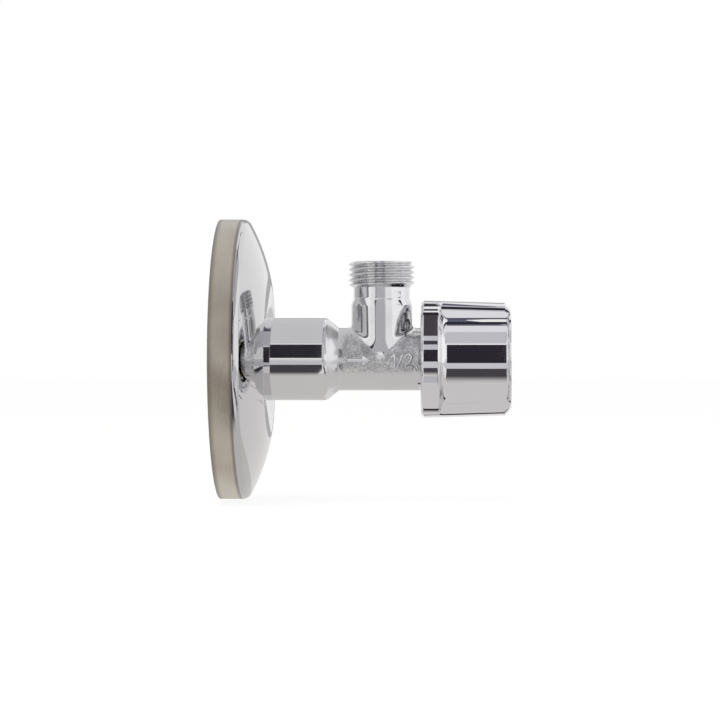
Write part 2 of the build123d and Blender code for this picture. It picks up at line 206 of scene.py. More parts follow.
# Painted light and shade on the rim: it is coloured darkest across its front at mid height and lighter
# towards its top and bottom, over the real rings of its turning.
rim_painted_shade_colour = blended(tree, rim_tone, (0.31, 0.27, 0.22), (0.52, 0.47, 0.40))
rim_half_lit_colour = blended(tree, rim_tone, (0.46, 0.42, 0.355), (0.64, 0.59, 0.51))
rim_painted_light_colour = blended(tree, rim_tone, (0.62, 0.575, 0.50), (0.80, 0.75, 0.665))
off_middle = place(tree, "ShaderNodeMath", {0: sides.outputs["Z"]}, operation="ABSOLUTE").outputs["Value"]
rim_shade_to_half_lit = blended(tree, rising(tree, off_middle, 0.003, 0.018), rim_painted_shade_colour, rim_half_lit_colour)
rim_rings_and_painted_light = blended(tree, rising(tree, off_middle, 0.026, 0.034), rim_shade_to_half_lit, rim_painted_light_colour)
# The rim is coloured darker towards its back edge, and a painted shade darkens it along the crease where it
# turns into the dome.
wall_edge = rising(tree, along, 0.0, 0.0016, 0.6, 0.0)
crease_painted_shade = rising(tree, along, 0.0049, 0.0057, 0.0, 0.6)
rim_colour = blended(tree, joined(tree, "ADD", wall_edge, crease_painted_shade), rim_rings_and_painted_light, (0.13, 0.11, 0.09))
dome_colour = blended(tree, skin.outputs["Drift"], (0.64, 0.64, 0.65), (0.59, 0.59, 0.595))
rim_dullness = joined(tree, "MULTIPLY", on_rim, rising(tree, rings, 0.3, 0.7, 0.22, 0.36))
outward = tree.nodes["Texture Coordinate"].outputs["Normal"]
facing = place(tree, "ShaderNodeSeparateXYZ", {"Vector": outward})
hollow = rising(tree, facing.outputs["X"], -0.1, -0.4)
hollow_dullness = joined(tree, "MULTIPLY", hollow, rising(tree, clouds, 0.3, 0.7, 0.28, 0.42))
plain_colour = blended(tree, clouds, (0.44, 0.44, 0.43), (0.58, 0.58, 0.565))
finish_shader(
    tree,
    shader,
    blended(tree, hollow, blended(tree, on_rim, dome_colour, rim_colour), plain_colour),
    joined(tree, "ADD", joined(tree, "ADD", skin.outputs["Roughness"], rim_dullness), hollow_dullness),
    joined(tree, "MULTIPLY", rings, on_rim),
    0.004,
)


def dome_line(inset, count=40):
    """Section of the dome from its crest to its rim: a circle that leaves the crest at the crest's slope
    and reaches the rim's corner. The inset is how far inside the sheet's outer skin the line lies."""
    run = np.array([rosette_rim - crest_height, rosette_radius - crest_radius])
    away = np.array([np.cos(crest_slope), np.sin(crest_slope)])
    ball = run @ run / (-2 * run @ away)
    centre = np.array([crest_height, crest_radius]) - ball * away
    last = np.arcsin((rosette_radius - inset - centre[1]) / (ball - inset))
    swing = np.linspace(crest_slope, last, count)
    return centre + (ball - inset) * np.column_stack([np.cos(swing), np.sin(swing)])


dish_run = np.array([crest_height - hole_height, crest_radius - rosette_hole])
dish_in = rosette_sheet * np.array([-dish_run[1], dish_run[0]]) / np.hypot(*dish_run)
inner_radius = rosette_radius - rosette_sheet
rim_middle = (0.0, rosette_radius - rosette_sheet / 2)
outer_dome = dome_line(0.0)
inner_dome = dome_line(rosette_sheet)
outer_hole = np.array([hole_height, rosette_hole])
inner_hole = outer_hole + dish_in * np.array([1.0, 0.0])
inner_crest = inner_hole + dish_run * (inner_dome[0, 1] - rosette_hole) / dish_run[1]
outer_rim = rounded(
    [rim_middle, (0.0, rosette_radius), (rosette_rim, rosette_radius), outer_dome[-1 - fillet_rows]],
    [rosette_edge, rosette_corner],
)
dish = rounded(
    [outer_dome[fillet_rows], outer_dome[0], outer_hole, inner_hole, inner_crest, inner_dome[fillet_rows]],
    [crest_fillet, rosette_edge, rosette_edge, crest_fillet - rosette_sheet],
)
inner_rim = rounded(
    [inner_dome[-1 - fillet_rows], inner_dome[-1], (0.0, inner_radius), rim_middle],
    [rosette_corner - rosette_sheet, rosette_edge],
)
between_fillets = slice(fillet_rows + 1, -1 - fillet_rows)
rosette_outline = np.vstack(
    [outer_rim, outer_dome[between_fillets][::-1], dish, inner_dome[between_fillets], inner_rim]
)
full_turn = np.linspace(-np.pi, np.pi, rosette_columns + 1)
rosette_dish = make_piece("rosette_dish", [turned(rosette_outline, full_turn)], rosette_plate)
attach(rosette_dish, "rosette")
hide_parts("wall_rosette")

# Valve body: one brass casting with inlet, collar, cone, tube and outlet neck, plated all over. Collar
# and threads are turned bright, the cone is duller, and the tube's front keeps its cast skin. It screws
# into the wall by its inlet thread and takes the supply pipe's nut on its neck.
outlet_x = 40.9
tube_radius = 7.93
tube_start = 30.05
tube_end = 57.5
foot_radius = 7.75
foot_top = 13.75
neck_radius = 7.175
neck_start = 15.5
outlet_thread_start = 18.2
outlet_top = 24.7
outlet_crest = 8.331
outlet_pitch = 1.337
outlet_bevel = 0.6
outlet_bore = 5.2
mouth_bevel = 0.7
mouth_depth = 3.0
neck_ease = 1.2
inlet_crest = 10.4775
inlet_pitch = 1.814
inlet_thread_end = 9.4
inlet_bevel = 0.9
inlet_bore = 6.2
undercut_radius = 9.18
collar_start = 10.2
collar_end = 27.05
collar_radius = 10.45
collar_ease = 2.0
collar_edge = 0.3
throat_start = 30.75
throat_radius = 4.5
seat_x = 34.25
seat_radius = 5.4
seat_root = 33.45
chamber_radius = 6.3
chamber_end = 46.45
socket_radius = 6.7
thread_depth = 0.6403
thread_flat = 0.14
cast_ease = 1.2
fine_edge = 0.1
bore_edge = 0.2
tube_edge = 0.15
quarter = 76
left_columns = 52
right_columns = 48
tube_rows = 56
foot_rows = 26
outlet_rows = 84
inlet_rows = 90
chamber_rows = 16
bore_rows = 12
foot_crowding = 1.6


def branch_wall(pipe_radius, branch_radius, left, right, rows):
    """Pipe wall round a round branch: on the unrolled pipe a straight ray runs from each point of the
    branch's foot, x = radius times cosine, to the pipe's two ends and to the line under it."""
    column = np.arange(4 * quarter + 1)
    angle = 2 * np.pi * column / (4 * quarter)
    foot_x = branch_radius * np.cos(angle)
    foot_angle = np.arcsin(branch_radius * np.sin(angle) / pipe_radius)
    knots = quarter * np.array([0, 0, 1, 2, 2, 2, 3, 4, 4]) + np.array(
        [0, right_columns, 0, -left_columns, 0, left_columns, 0, -right_columns, 0]
    )
    end_x = np.interp(column, knots, [right, right, 0, left, left, left, 0, right, right])
    end_angle = np.interp(column, knots, np.pi * np.array([0, 1, 1, 1, 0, -1, -1, -1, 0]))
    share = np.linspace(0, 1, rows)[:, None] ** foot_crowding
    around = foot_angle + (end_angle - foot_angle) * share
    x = foot_x + (end_x - foot_x) * share
    return np.stack([x, pipe_radius * np.sin(around), pipe_radius * np.cos(around)], axis=-1)


def eased(points, pipe_radius, branch_radius, ease):
    """Rounds the corner where a branch meets its pipe: the two distances are joined by a quadratic smooth
    minimum, and each point slides along its slope until the joined distance is zero."""
    for _ in range(8):
        x, y, z = np.moveaxis(points, -1, 0)
        from_axis, from_branch = np.hypot(y, z), np.hypot(x, y)
        to_pipe = from_axis - pipe_radius
        to_branch = np.maximum(from_branch - branch_radius, -z)
        share = np.maximum(ease - np.abs(to_pipe - to_branch), 0) / ease
        distance = np.minimum(to_pipe, to_branch) - share**2 * ease / 4
        pipe_part = np.where(to_pipe < to_branch, 1 - share / 2, share / 2)[..., None]
        pipe_slope = np.stack([np.zeros_like(x), y, z], axis=-1) / from_axis[..., None]
        branch_slope = np.stack([x, y, np.zeros_like(x)], axis=-1) / from_branch[..., None]
        slope = pipe_part * pipe_slope + (1 - pipe_part) * branch_slope
        points = points - slope * (distance / np.sum(slope**2, axis=-1))[..., None]
    return points


def threaded(radius, along, turn, crest, pitch):
    """Screw thread cut into a wall: the groove's depth follows a triangle wave with flattened tips of the
    distance along the axis less one pitch for every turn, and a radius under the groove stays."""
    phase = np.abs(((along / pitch - turn / (2 * np.pi)) % 1.0) * 2 - 1)
    groove = np.clip((phase - thread_flat) / (1 - 2 * thread_flat), 0, 1)
    return np.minimum(radius, crest - thread_depth * pitch * groove)


def distance_from(tree, vector, across):
    """Distance of a place from an axis: the length of its vector with the axis's own share left out."""
    flat = place(tree, "ShaderNodeVectorMath", {0: vector, 1: across}, operation="MULTIPLY")
    length = place(tree, "ShaderNodeVectorMath", {0: flat.outputs["Vector"]}, operation="LENGTH")
    return length.outputs["Value"]


angle = np.linspace(0, 2 * np.pi, 4 * quarter + 1)
tube_wall = branch_wall(tube_radius, foot_radius, tube_start - outlet_x, tube_end - outlet_x, tube_rows)
foot_line = tube_wall[0, :, 2]
climb = np.linspace(1, 0, foot_rows)[:-1, None] ** foot_crowding
foot_height = foot_line + (foot_top - foot_line) * climb
foot_wall = np.stack(
    np.broadcast_arrays(foot_radius * np.cos(angle), foot_radius * np.sin(angle), foot_height), axis=-1
)
tee = eased(np.concatenate([foot_wall, tube_wall]), tube_radius, foot_radius, cast_ease)

neck_outline = rounded(
    [
        (outlet_top - mouth_depth, outlet_bore),
        (outlet_top - mouth_bevel, outlet_bore),
        (outlet_top, outlet_bore + mouth_bevel),
        (outlet_top, outlet_crest - outlet_bevel),
        (outlet_top - outlet_bevel, outlet_crest),
        (outlet_thread_start + outlet_bevel, outlet_crest),
        (outlet_thread_start, neck_radius),
        (neck_start, neck_radius),
        (foot_top, foot_radius),
    ],
    [fine_edge, fine_edge, fine_edge, fine_edge / 2, fine_edge / 2, fine_edge, neck_ease],
    steps=4,
    margin=0.02,
)
crest_rows = np.linspace(
    outlet_top - outlet_bevel - fine_edge, outlet_thread_start + outlet_bevel + fine_edge, outlet_rows
)
crest_from = np.argmax(neck_outline[:, 1] > outlet_crest - 1e-6)
neck_outline = np.vstack(
    [
        neck_outline[: crest_from + 1],
        np.column_stack([crest_rows, np.full(crest_rows.size, outlet_crest)]),
        neck_outline[neck_outline[:, 0] < outlet_thread_start + outlet_bevel],
    ]
)
neck_z = neck_outline[:, :1]
neck_wall_radius = np.where(
    (neck_outline[:, 1:] > outlet_bore + mouth_bevel + fine_edge) & (neck_z > outlet_thread_start),
    threaded(neck_outline[:, 1:], neck_z, angle, outlet_crest, outlet_pitch),
    neck_outline[:, 1:] + 0 * angle,
)
neck_wall = np.stack(
    np.broadcast_arrays(neck_wall_radius * np.cos(angle), neck_wall_radius * np.sin(angle), neck_z), axis=-1
)

chamber_wall = branch_wall(
    chamber_radius, outlet_bore, seat_root - outlet_x, chamber_end - outlet_x, chamber_rows
)
bore_line = chamber_wall[0, :, 2]
bore_height = bore_line + (outlet_top - mouth_depth - bore_line) * np.linspace(0, 1, bore_rows)[:, None]
bore_wall = np.stack(
    np.broadcast_arrays(outlet_bore * np.cos(angle), outlet_bore * np.sin(angle), bore_height), axis=-1
)

inlet_outline = rounded(
    [
        (tube_start, tube_radius),
        (collar_end, collar_radius),
        (collar_start, collar_radius),
        (collar_start, undercut_radius),
        (inlet_thread_end, undercut_radius),
        (inlet_thread_end, inlet_crest),
        (inlet_bevel, inlet_crest),
        (0.0, inlet_crest - inlet_bevel),
        (0.0, inlet_bore),
        (throat_start, inlet_bore),
        (throat_start, throat_radius),
        (seat_x, throat_radius),
        (seat_x, seat_radius),
        (seat_root, seat_radius),
        (seat_root, chamber_radius),
    ],
    [collar_ease, collar_edge] + 5 * [fine_edge] + [bore_edge, fine_edge, bore_edge] + 3 * [fine_edge],
    steps=6,
    margin=0.03,
)
thread_rows = np.linspace(inlet_thread_end - fine_edge, inlet_bevel + fine_edge, inlet_rows)
bevel_row = np.argmax(inlet_outline[:, 0] < inlet_bevel + 0.06)
collar_rows = inlet_outline[:bevel_row]
inlet_outline = np.vstack(
    [
        collar_rows[collar_rows[:, 0] > inlet_thread_end - 0.05],
        np.column_stack([thread_rows, np.full(thread_rows.size, inlet_crest)]),
        inlet_outline[bevel_row + 1 :],
    ]
)
left_turn = np.linspace(-np.pi, np.pi, 2 * left_columns + 1)
inlet_x = inlet_outline[:, :1]
on_thread = (inlet_outline[:, 1:] > inlet_bore + 1) & (inlet_x < inlet_thread_end + 0.02)
inlet_radius = np.where(
    on_thread,
    threaded(inlet_outline[:, 1:], inlet_x, left_turn, inlet_crest, inlet_pitch),
    inlet_outline[:, 1:] + 0 * left_turn,
)
inlet_y, inlet_z = inlet_radius * np.sin(left_turn), inlet_radius * np.cos(left_turn)
inlet_wall = np.stack(np.broadcast_arrays(inlet_x, inlet_y, inlet_z), axis=-1)
socket_outline = rounded(
    [
        (tube_end, tube_radius),
        (tube_end, socket_radius),
        (chamber_end, socket_radius),
        (chamber_end, chamber_radius),
    ],
    [tube_edge, fine_edge],
)
right_turn = np.linspace(-np.pi, np.pi, 2 * right_columns + 1)

body_plate, tree, shader, spot = new_material("body_plate", 1.0)
skin = place(tree, "ShaderNodeGroup", {}, node_tree=plating)
tree.links.new(spot, skin.inputs["Vector"])
skin.inputs["Roughness"].default_value = 0.05
skin.inputs["Smear"].default_value = 0.04
sides = place(tree, "ShaderNodeSeparateXYZ", {"Vector": spot})
height = sides.outputs["Z"]
cast = rising(tree, sides.outputs["X"], 0.0302, 0.0318)
above_belly = rising(tree, height, -0.0040, -0.0026, 0.05, 1.0)
below_neck = rising(tree, height, 0.0045, 0.0075, 1.0, 0.05)
cast_front = joined(tree, "MULTIPLY", cast, joined(tree, "MULTIPLY", above_belly, below_neck))
neck_zone = joined(tree, "MULTIPLY", cast, rising(tree, height, 0.0070, 0.0100))
unrubbed = rising(tree, distance_from(tree, spot, (0.0, 1.0, 1.0)), 0.00808, 0.00820, 1.0, 0.0)
skin_zone = joined(tree, "MULTIPLY", cast_front, unrubbed)
sand = joined(
    tree,
    "ADD",
    grain(tree, spot, 0.55),
    joined(tree, "MULTIPLY", grain(tree, spot, 1.6, detail=1.0), 0.8),
)
outlet_spot = {0: spot, 1: (0.001 * outlet_x, 0.0, 0.0)}
from_outlet = place(tree, "ShaderNodeVectorMath", outlet_spot, operation="SUBTRACT").outputs["Vector"]
from_neck = distance_from(tree, from_outlet, (1.0, 1.0, 0.0))
# Painted shade: the roots of the outlet's thread, its mouth and the top of its bore are coloured darker
# than the plate.
thread_root_painted_shade = joined(
    tree, "MULTIPLY", rising(tree, from_neck, 0.0081, 0.0076), rising(tree, height, 0.0183, 0.0186)
)
plate_colour = blended(tree, skin.outputs["Drift"], (0.75, 0.75, 0.765), (0.69, 0.69, 0.70))
cast_colour = blended(tree, rising(tree, sand, 0.6, 1.2), (0.46, 0.46, 0.47), (0.70, 0.70, 0.71))
skin_colour = blended(tree, skin_zone, plate_colour, cast_colour)
cast_dullness = joined(
    tree, "ADD", joined(tree, "MULTIPLY", skin_zone, 0.16), joined(tree, "MULTIPLY", neck_zone, 0.07)
)
behind_collar = rising(tree, sides.outputs["X"], 0.0104, 0.0100)
cone_zone = joined(tree, "SUBTRACT", rising(tree, sides.outputs["X"], 0.0268, 0.0276), cast)
blasted = joined(tree, "MAXIMUM", behind_collar, cone_zone)
dullness = joined(tree, "ADD", cast_dullness, joined(tree, "MULTIPLY", blasted, 0.16))
finish_shader(
    tree,
    shader,
    blended(tree, thread_root_painted_shade, skin_colour, (0.64, 0.64, 0.65)),
    joined(tree, "ADD", skin.outputs["Roughness"], dullness),
    joined(tree, "MULTIPLY", sand, skin_zone),
    0.10,
)

outlet_offset = np.array([outlet_x, 0.0, 0.0])
valve_casting = make_piece(
    "valve_casting",
    [
        tee + outlet_offset,
        neck_wall + outlet_offset,
        chamber_wall + outlet_offset,
        bore_wall + outlet_offset,
        inlet_wall,
        turned(socket_outline, right_turn),
    ],
    body_plate,
)
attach(valve_casting, "valve")
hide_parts("valve_body")

# Cast marks: a flow arrow and the inlet's nominal size stand a little proud of the tube's front.
# They are part of the casting and plated with it.
mark_height = 0.4
mark_edge = 0.2
mark_sink = 0.04
mark_columns = 300
mark_rows = 90
mark_span = (31.8, 50.3)
mark_band = (-2.9, 2.4)
arrow_start = 32.8
arrow_neck = 36.2
arrow_tip = 38.6
arrow_z = -0.3
arrow_half_width = 0.42
figure_top = 1.2
figure_foot = -1.9
figure_half_width = 0.26


def stroke_distance(x, z, points):
    """Distance from each place to a line through points, as the least over its straight runs."""
    points = np.asarray(points, float)
    nearest = np.full(x.shape, 1e3)
    for (ax, az), (bx, bz) in zip(points, points[1:]):
        run_x, run_z = bx - ax, bz - az
        share = np.clip(((x - ax) * run_x + (z - az) * run_z) / (run_x**2 + run_z**2), 0, 1)
        nearest = np.minimum(nearest, np.hypot(x - ax - share * run_x, z - az - share * run_z))
    return nearest


mark_x, mark_z = np.meshgrid(np.linspace(*mark_span, mark_columns), np.linspace(*mark_band, mark_rows))
shaft_line = [(arrow_start, arrow_z), (arrow_neck + 0.6, arrow_z)]
arrow_shaft = stroke_distance(mark_x, mark_z, shaft_line) - arrow_half_width
arrow_flank = np.abs(mark_z - arrow_z) * 0.86 + (mark_x - arrow_tip) * 0.5
arrow_head = np.maximum(arrow_neck - mark_x, arrow_flank)
figure_one = stroke_distance(mark_x, mark_z, [(43.6, 0.5), (44.4, figure_top), (44.4, figure_foot)])
fraction_bar = stroke_distance(mark_x, mark_z, [(45.1, figure_foot), (46.5, figure_top)])
two_bow = [(47.1, 0.5), (47.3, 1.0), (47.9, figure_top), (48.5, 1.0), (48.7, 0.4), (48.4, -0.3)]
two_foot = [(47.1, figure_foot), (48.9, figure_foot)]
figure_two = stroke_distance(mark_x, mark_z, two_bow + two_foot)
figures = np.minimum(np.minimum(figure_one, fraction_bar), figure_two) - figure_half_width
mark_distance = np.minimum(np.minimum(arrow_shaft, arrow_head), figures)
lift = np.clip(0.5 - mark_distance / mark_edge, 0, 1)
mark_radius = tube_radius - mark_sink + (mark_height + mark_sink) * lift**2 * (3 - 2 * lift)
mark_angle = mark_z / tube_radius
mark_grid = np.stack([mark_x, -mark_radius * np.cos(mark_angle), mark_radius * np.sin(mark_angle)], axis=-1)
cast_marks = make_piece("cast_marks", [mark_grid], body_plate)
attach(cast_marks, "valve")

# Headwork: turned brass bonnet, spindle and clack with rubber seals, a fibre gasket and small steel
# fixings. They sit inside the body and the knob, and only the outlet's mouth and the gap under the
# knob's skirt let them be seen.
headwork_brass, tree, shader, spot = new_material("headwork_brass", 1.0)
lathe_marks = grain(tree, spot, 0.15, stretch=(1.0, 60.0, 60.0))
finish_shader(
    tree,
    shader,
    blended(tree, grain(tree, spot, 4.0), (0.80, 0.62, 0.30), (0.62, 0.45, 0.20)),
    rising(tree, lathe_marks, 0.3, 0.7, 0.22, 0.38),
    lathe_marks,
    0.01,
)
seal_rubber, tree, shader, spot = new_material("seal_rubber", 0.0)
mould_grain = grain(tree, spot, 0.4)
finish_shader(
    tree,
    shader,
    blended(tree, mould_grain, (0.018, 0.018, 0.018), (0.04, 0.04, 0.04)),
    rising(tree, mould_grain, 0.3, 0.7, 0.5, 0.7),
    mould_grain,
    0.02,
)
gasket_fibre, tree, shader, spot = new_material("gasket_fibre", 0.0)
fibres = grain(tree, spot, 0.3, stretch=(1.0, 4.0, 4.0))
finish_shader(
    tree,
    shader,
    blended(tree, fibres, (0.30, 0.09, 0.05), (0.50, 0.19, 0.11)),
    rising(tree, fibres, 0.3, 0.7, 0.7, 0.9),
    fibres,
    0.03,
)
bright_steel, tree, shader, spot = new_material("bright_steel", 1.0)
drawn_lines = grain(tree, spot, 0.2, stretch=(1.0, 8.0, 8.0))
finish_shader(
    tree,
    shader,
    blended(tree, drawn_lines, (0.58, 0.58, 0.59), (0.68, 0.68, 0.69)),
    rising(tree, drawn_lines, 0.3, 0.7, 0.2, 0.3),
    drawn_lines,
    0.006,
)
headwork_finishes = {
    "bonnet": headwork_brass,
    "bonnet_gasket": gasket_fibre,
    "spindle": headwork_brass,
    "spindle_o_ring_inner": seal_rubber,
    "spindle_o_ring_outer": seal_rubber,
    "clack": headwork_brass,
    "jumper_clip": bright_steel,
    "seat_washer": seal_rubber,
    "washer_screw": headwork_brass,
    "knob_screw": bright_steel,
}
for node, finish in headwork_finishes.items():
    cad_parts[node].material_slots[0].material = finish

# Knob: one moulding with a skirt over the headwork, a smooth grip and two opposite ribs that draw in
# towards the free end, all plated to a mirror. It sits on the spindle's square and is held by a screw
# under a small pressed-in cap.
knob_start = 50.95
knob_end = 73.7
skirt_radius = 14.2
skirt_end = 55.65
grip_start = 56.45
grip_radius = 12.0
ring_radius = 12.5
rib_half_width = 4.4
rib_flare = np.tan(np.radians(22.0))
rib_start_radius = 14.85
rib_end_radius = 14.27
rib_start_bevel = 0.8
rib_end_bevel = 1.3
rib_end = 73.4
rib_root_ease = 0.5
rib_tip_ease = 2.0
rib_edge = 0.3
skirt_round = 0.8
skirt_edge = 0.5
grip_root = 1.7
ring_root = 0.8
ring_edge = 0.2
ring_foot = 72.7
ring_start = 73.1
end_flat = 12.2
start_flat = 13.1
skirt_hollow = 12.4
skirt_floor = 53.85
cavity_radius = 10.2
cavity_end = 71.9
boss_radius = 5.62
boss_start = 64.5
square_half = 2.49
square_floor = 70.1
screw_hole = 1.55
screw_room = 3.1
screw_seat = 71.1
cap_room = 5.05
cap_seat = 72.5
cap_lead = 0.6


def smooth_least(first, second, ease):
    """Smaller of two values, with the corner between them rounded over a range of ease."""
    share = np.maximum(ease - np.abs(first - second), 0) / np.maximum(ease, 1e-9)
    return np.minimum(first, second) - share**2 * ease / 4


top_angles = np.linspace(0, 15, 9)[:-1]
flank_angles = np.linspace(15, 40, 61)[:-1]
grip_angles = np.linspace(40, 90, 34)
quarter_angles = np.radians(np.concatenate([top_angles, flank_angles, grip_angles]))
half_angles = np.concatenate([quarter_angles, np.pi - quarter_angles[-2::-1]])
knob_turn = np.concatenate([half_angles, np.pi + half_angles[1:]])
from_rib = np.minimum(knob_turn % np.pi, np.pi - knob_turn % np.pi)
rib_reach = rib_half_width + rib_start_radius * rib_flare
rib_side = rib_reach / (np.sin(from_rib) + rib_flare * np.cos(from_rib))

shell_line = rounded(
    [
        (knob_start, skirt_radius - 1.3),
        (knob_start, skirt_radius),
        (skirt_end, skirt_radius),
        (grip_start, grip_radius),
        (ring_foot, grip_radius),
        (ring_start, ring_radius),
        (knob_end, ring_radius),
        (knob_end, ring_radius - 1.0),
    ],
    [skirt_round, skirt_edge, grip_root, ring_root, ring_edge, ring_edge],
    steps=10,
    margin=0.03,
)[2:-2]
rib_line = rounded(
    [
        (knob_start - 0.2, rib_start_radius - rib_start_bevel - 0.2),
        (knob_start + rib_start_bevel, rib_start_radius),
        (rib_end - rib_end_bevel, rib_end_radius),
        (rib_end, rib_end_radius - rib_end_bevel),
    ],
    [rib_edge, rib_edge],
)
grip_rows = np.linspace(57.0, 72.0, 30)
all_rows = np.concatenate([shell_line[:, 0], rib_line[:, 0], [rib_end + 0.02], grip_rows])
outer_x = np.unique(np.round(all_rows, 4))
outer_x = outer_x[(outer_x >= knob_start) & (outer_x <= knob_end)]
outer_x = outer_x[np.append(True, np.diff(outer_x) > 0.004)]
shell = np.interp(outer_x, shell_line[:, 0], shell_line[:, 1])[:, None]
rib = np.interp(outer_x, rib_line[:, 0], rib_line[:, 1], right=0.0)[:, None]
raised = np.maximum(rib - shell, 0)
root_ease = np.minimum(rib_root_ease, 2 * raised)
flank = -smooth_least(-shell, -rib_side, root_ease)
outer_radius = np.where(
    raised > 0.02,
    smooth_least(np.maximum(rib, shell), flank, np.minimum(rib_tip_ease, raised)),
    shell + 0 * from_rib,
)
end_face = rounded(
    [(cap_seat + cap_lead, cap_room), (knob_end, cap_room), (knob_end, end_flat)], [0.1], margin=0.03
)
cavity = rounded(
    [
        (knob_start, start_flat),
        (knob_start, skirt_hollow),
        (skirt_floor, skirt_hollow),
        (skirt_floor, cavity_radius),
        (cavity_end, cavity_radius),
        (cavity_end, boss_radius),
        (boss_start, boss_radius),
        (boss_start, square_half),
        (square_floor, square_half),
        (square_floor, screw_hole),
        (screw_seat, screw_hole),
        (screw_seat, screw_room),
        (cap_seat, screw_room),
        (cap_seat, cap_room),
        (cap_seat + cap_lead, cap_room),
    ],
    [0.2, 0.3, 0.2, 0.4, 0.3, 0.2, 0.15, 0.15, 0.1, 0.1, 0.1, 0.1, 0.1],
    steps=4,
    margin=0.03,
)
on_square = (cavity[:, :1] > boss_start + 0.1) & (cavity[:, :1] < square_floor)
squareness = np.where(
    (np.abs(cavity[:, 1:] - square_half) < 0.05) & on_square,
    1 / np.maximum(np.abs(np.cos(knob_turn)), np.abs(np.sin(knob_turn))),
    1.0,
)
knob_x = np.concatenate([end_face[:, 0], outer_x[::-1], cavity[:, 0]])[:, None]
knob_radius = np.concatenate(
    [end_face[:, 1:] + 0 * from_rib, outer_radius[::-1], cavity[:, 1:] * squareness]
)
knob_y, knob_z = knob_radius * np.sin(knob_turn), knob_radius * np.cos(knob_turn)
knob_grid = np.stack(np.broadcast_arrays(knob_x, knob_y, knob_z), axis=-1)

knob_plate, tree, shader, spot = new_material("knob_plate", 1.0)
skin = place(tree, "ShaderNodeGroup", {}, node_tree=plating)
tree.links.new(spot, skin.inputs["Vector"])
skin.inputs["Roughness"].default_value = 0.03
skin.inputs["Smear"].default_value = 0.03
finish_shader(
    tree,
    shader,
    blended(tree, skin.outputs["Drift"], (0.82, 0.82, 0.84), (0.76, 0.76, 0.775)),
    skin.outputs["Roughness"],
    skin.outputs["Height"],
    0.004,
)
knob_shell = make_piece("knob_shell", [knob_grid], knob_plate)
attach(knob_shell, "handle")
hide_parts("knob")

# Knob cap: a small plated disc with a low crown, turned in one piece. It is pressed into the knob's end
# over the screw and has the knob's own finish.
cap_radius = 5.0
cap_top = 73.6
cap_crown = 0.2
cap_shoulder = 0.3
cap_ball = (cap_radius**2 + cap_crown**2) / (2 * cap_crown)
crown_radius = np.linspace(0, cap_radius - cap_shoulder, 24)
crown_x = cap_top + cap_crown - cap_ball + np.sqrt(cap_ball**2 - crown_radius**2)
cap_side = rounded(
    [(crown_x[-1], crown_radius[-1]), (cap_top, cap_radius), (cap_seat, cap_radius), (cap_seat, 0.0)],
    [0.15, 0.1],
)
cap_outline = np.vstack([np.column_stack([crown_x, crown_radius])[:-1], cap_side])
knob_end_cap = make_piece("knob_end_cap", [turned(cap_outline, right_turn)], knob_plate)
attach(knob_end_cap, "handle")
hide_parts("knob_cap")

# Studio: a pale floor under the rosette's rim, white all round, and cards that only show as reflections
# in the chrome. Black and dusk flags draw the dark bands, grey and stone sheets tone the sky and the
# floor, and two softboxes stand at the sides.
floor_z = -36.2
strip_z = floor_z + 0.5
flag_z = strip_z + 0.3
dusk = (0.07, 0.064, 0.073)
stone = (0.68, 0.665, 0.65)


def stage_card(name, grid, material):
    """Card of the studio from a grid of points."""
    make_piece(name, [grid], material)


def card_material(name, colour, strength):
    """Card that only reflections see: any ray that doesn't come from a glossy surface passes through."""
    material = bpy.data.materials.new(name)
    material.use_nodes = True
    tree = material.node_tree
    tree.nodes.remove(tree.nodes["Principled BSDF"])
    light = place(tree, "ShaderNodeEmission", {"Color": (*colour, 1.0), "Strength": strength})
    clear = place(tree, "ShaderNodeBsdfTransparent", {})
    seen = place(tree, "ShaderNodeLightPath", {}).outputs["Is Glossy Ray"]
    mixed = place(
        tree, "ShaderNodeMixShader", {"Fac": seen, 1: clear.outputs["BSDF"], 2: light.outputs["Emission"]}
    )
    tree.links.new(mixed.outputs["Shader"], tree.nodes["Material Output"].inputs["Surface"])
    return material


def fading_material(name, far_y, near_y):
    """Card that goes from dusk to stone between two places along y, seen by reflections only."""
    material = card_material(name, dusk, 1.0)
    tree = material.node_tree
    spot = place(tree, "ShaderNodeTexCoord", {}).outputs["Object"]
    sides = place(tree, "ShaderNodeSeparateXYZ", {"Vector": spot})
    fade = rising(tree, sides.outputs["Y"], 0.001 * far_y, 0.001 * near_y)
    tree.links.new(blended(tree, fade, dusk, stone), tree.nodes["Emission"].inputs["Color"])
    return material


def arc_card(name, knots, distance, material):
    """Strip of a cylinder about the valve axis, from knots of (x, lower, upper elevation). Elevations go
    up from the camera's side in degrees, and between knots they change evenly."""
    knot_x, low, high = np.asarray(knots, float).T
    x, share = np.meshgrid(np.linspace(knot_x[0], knot_x[-1], 40), np.linspace(0, 1, 40))
    bottom, top = np.interp(x, knot_x, low), np.interp(x, knot_x, high)
    rise = np.radians(bottom + (top - bottom) * share)
    grid = np.stack([x, -distance * np.cos(rise), distance * np.sin(rise)], axis=-1)
    stage_card(name, grid, material)


def flat_card(name, corner, first_side, second_side, material):
    """Flat card: a corner plus shares of its two sides."""
    first, second = np.meshgrid(np.linspace(0, 1, 12), np.linspace(0, 1, 12))
    along_first = first[..., None] * np.array(first_side, float)
    along_second = second[..., None] * np.array(second_side, float)
    stage_card(name, np.array(corner, float) + along_first + along_second, material)


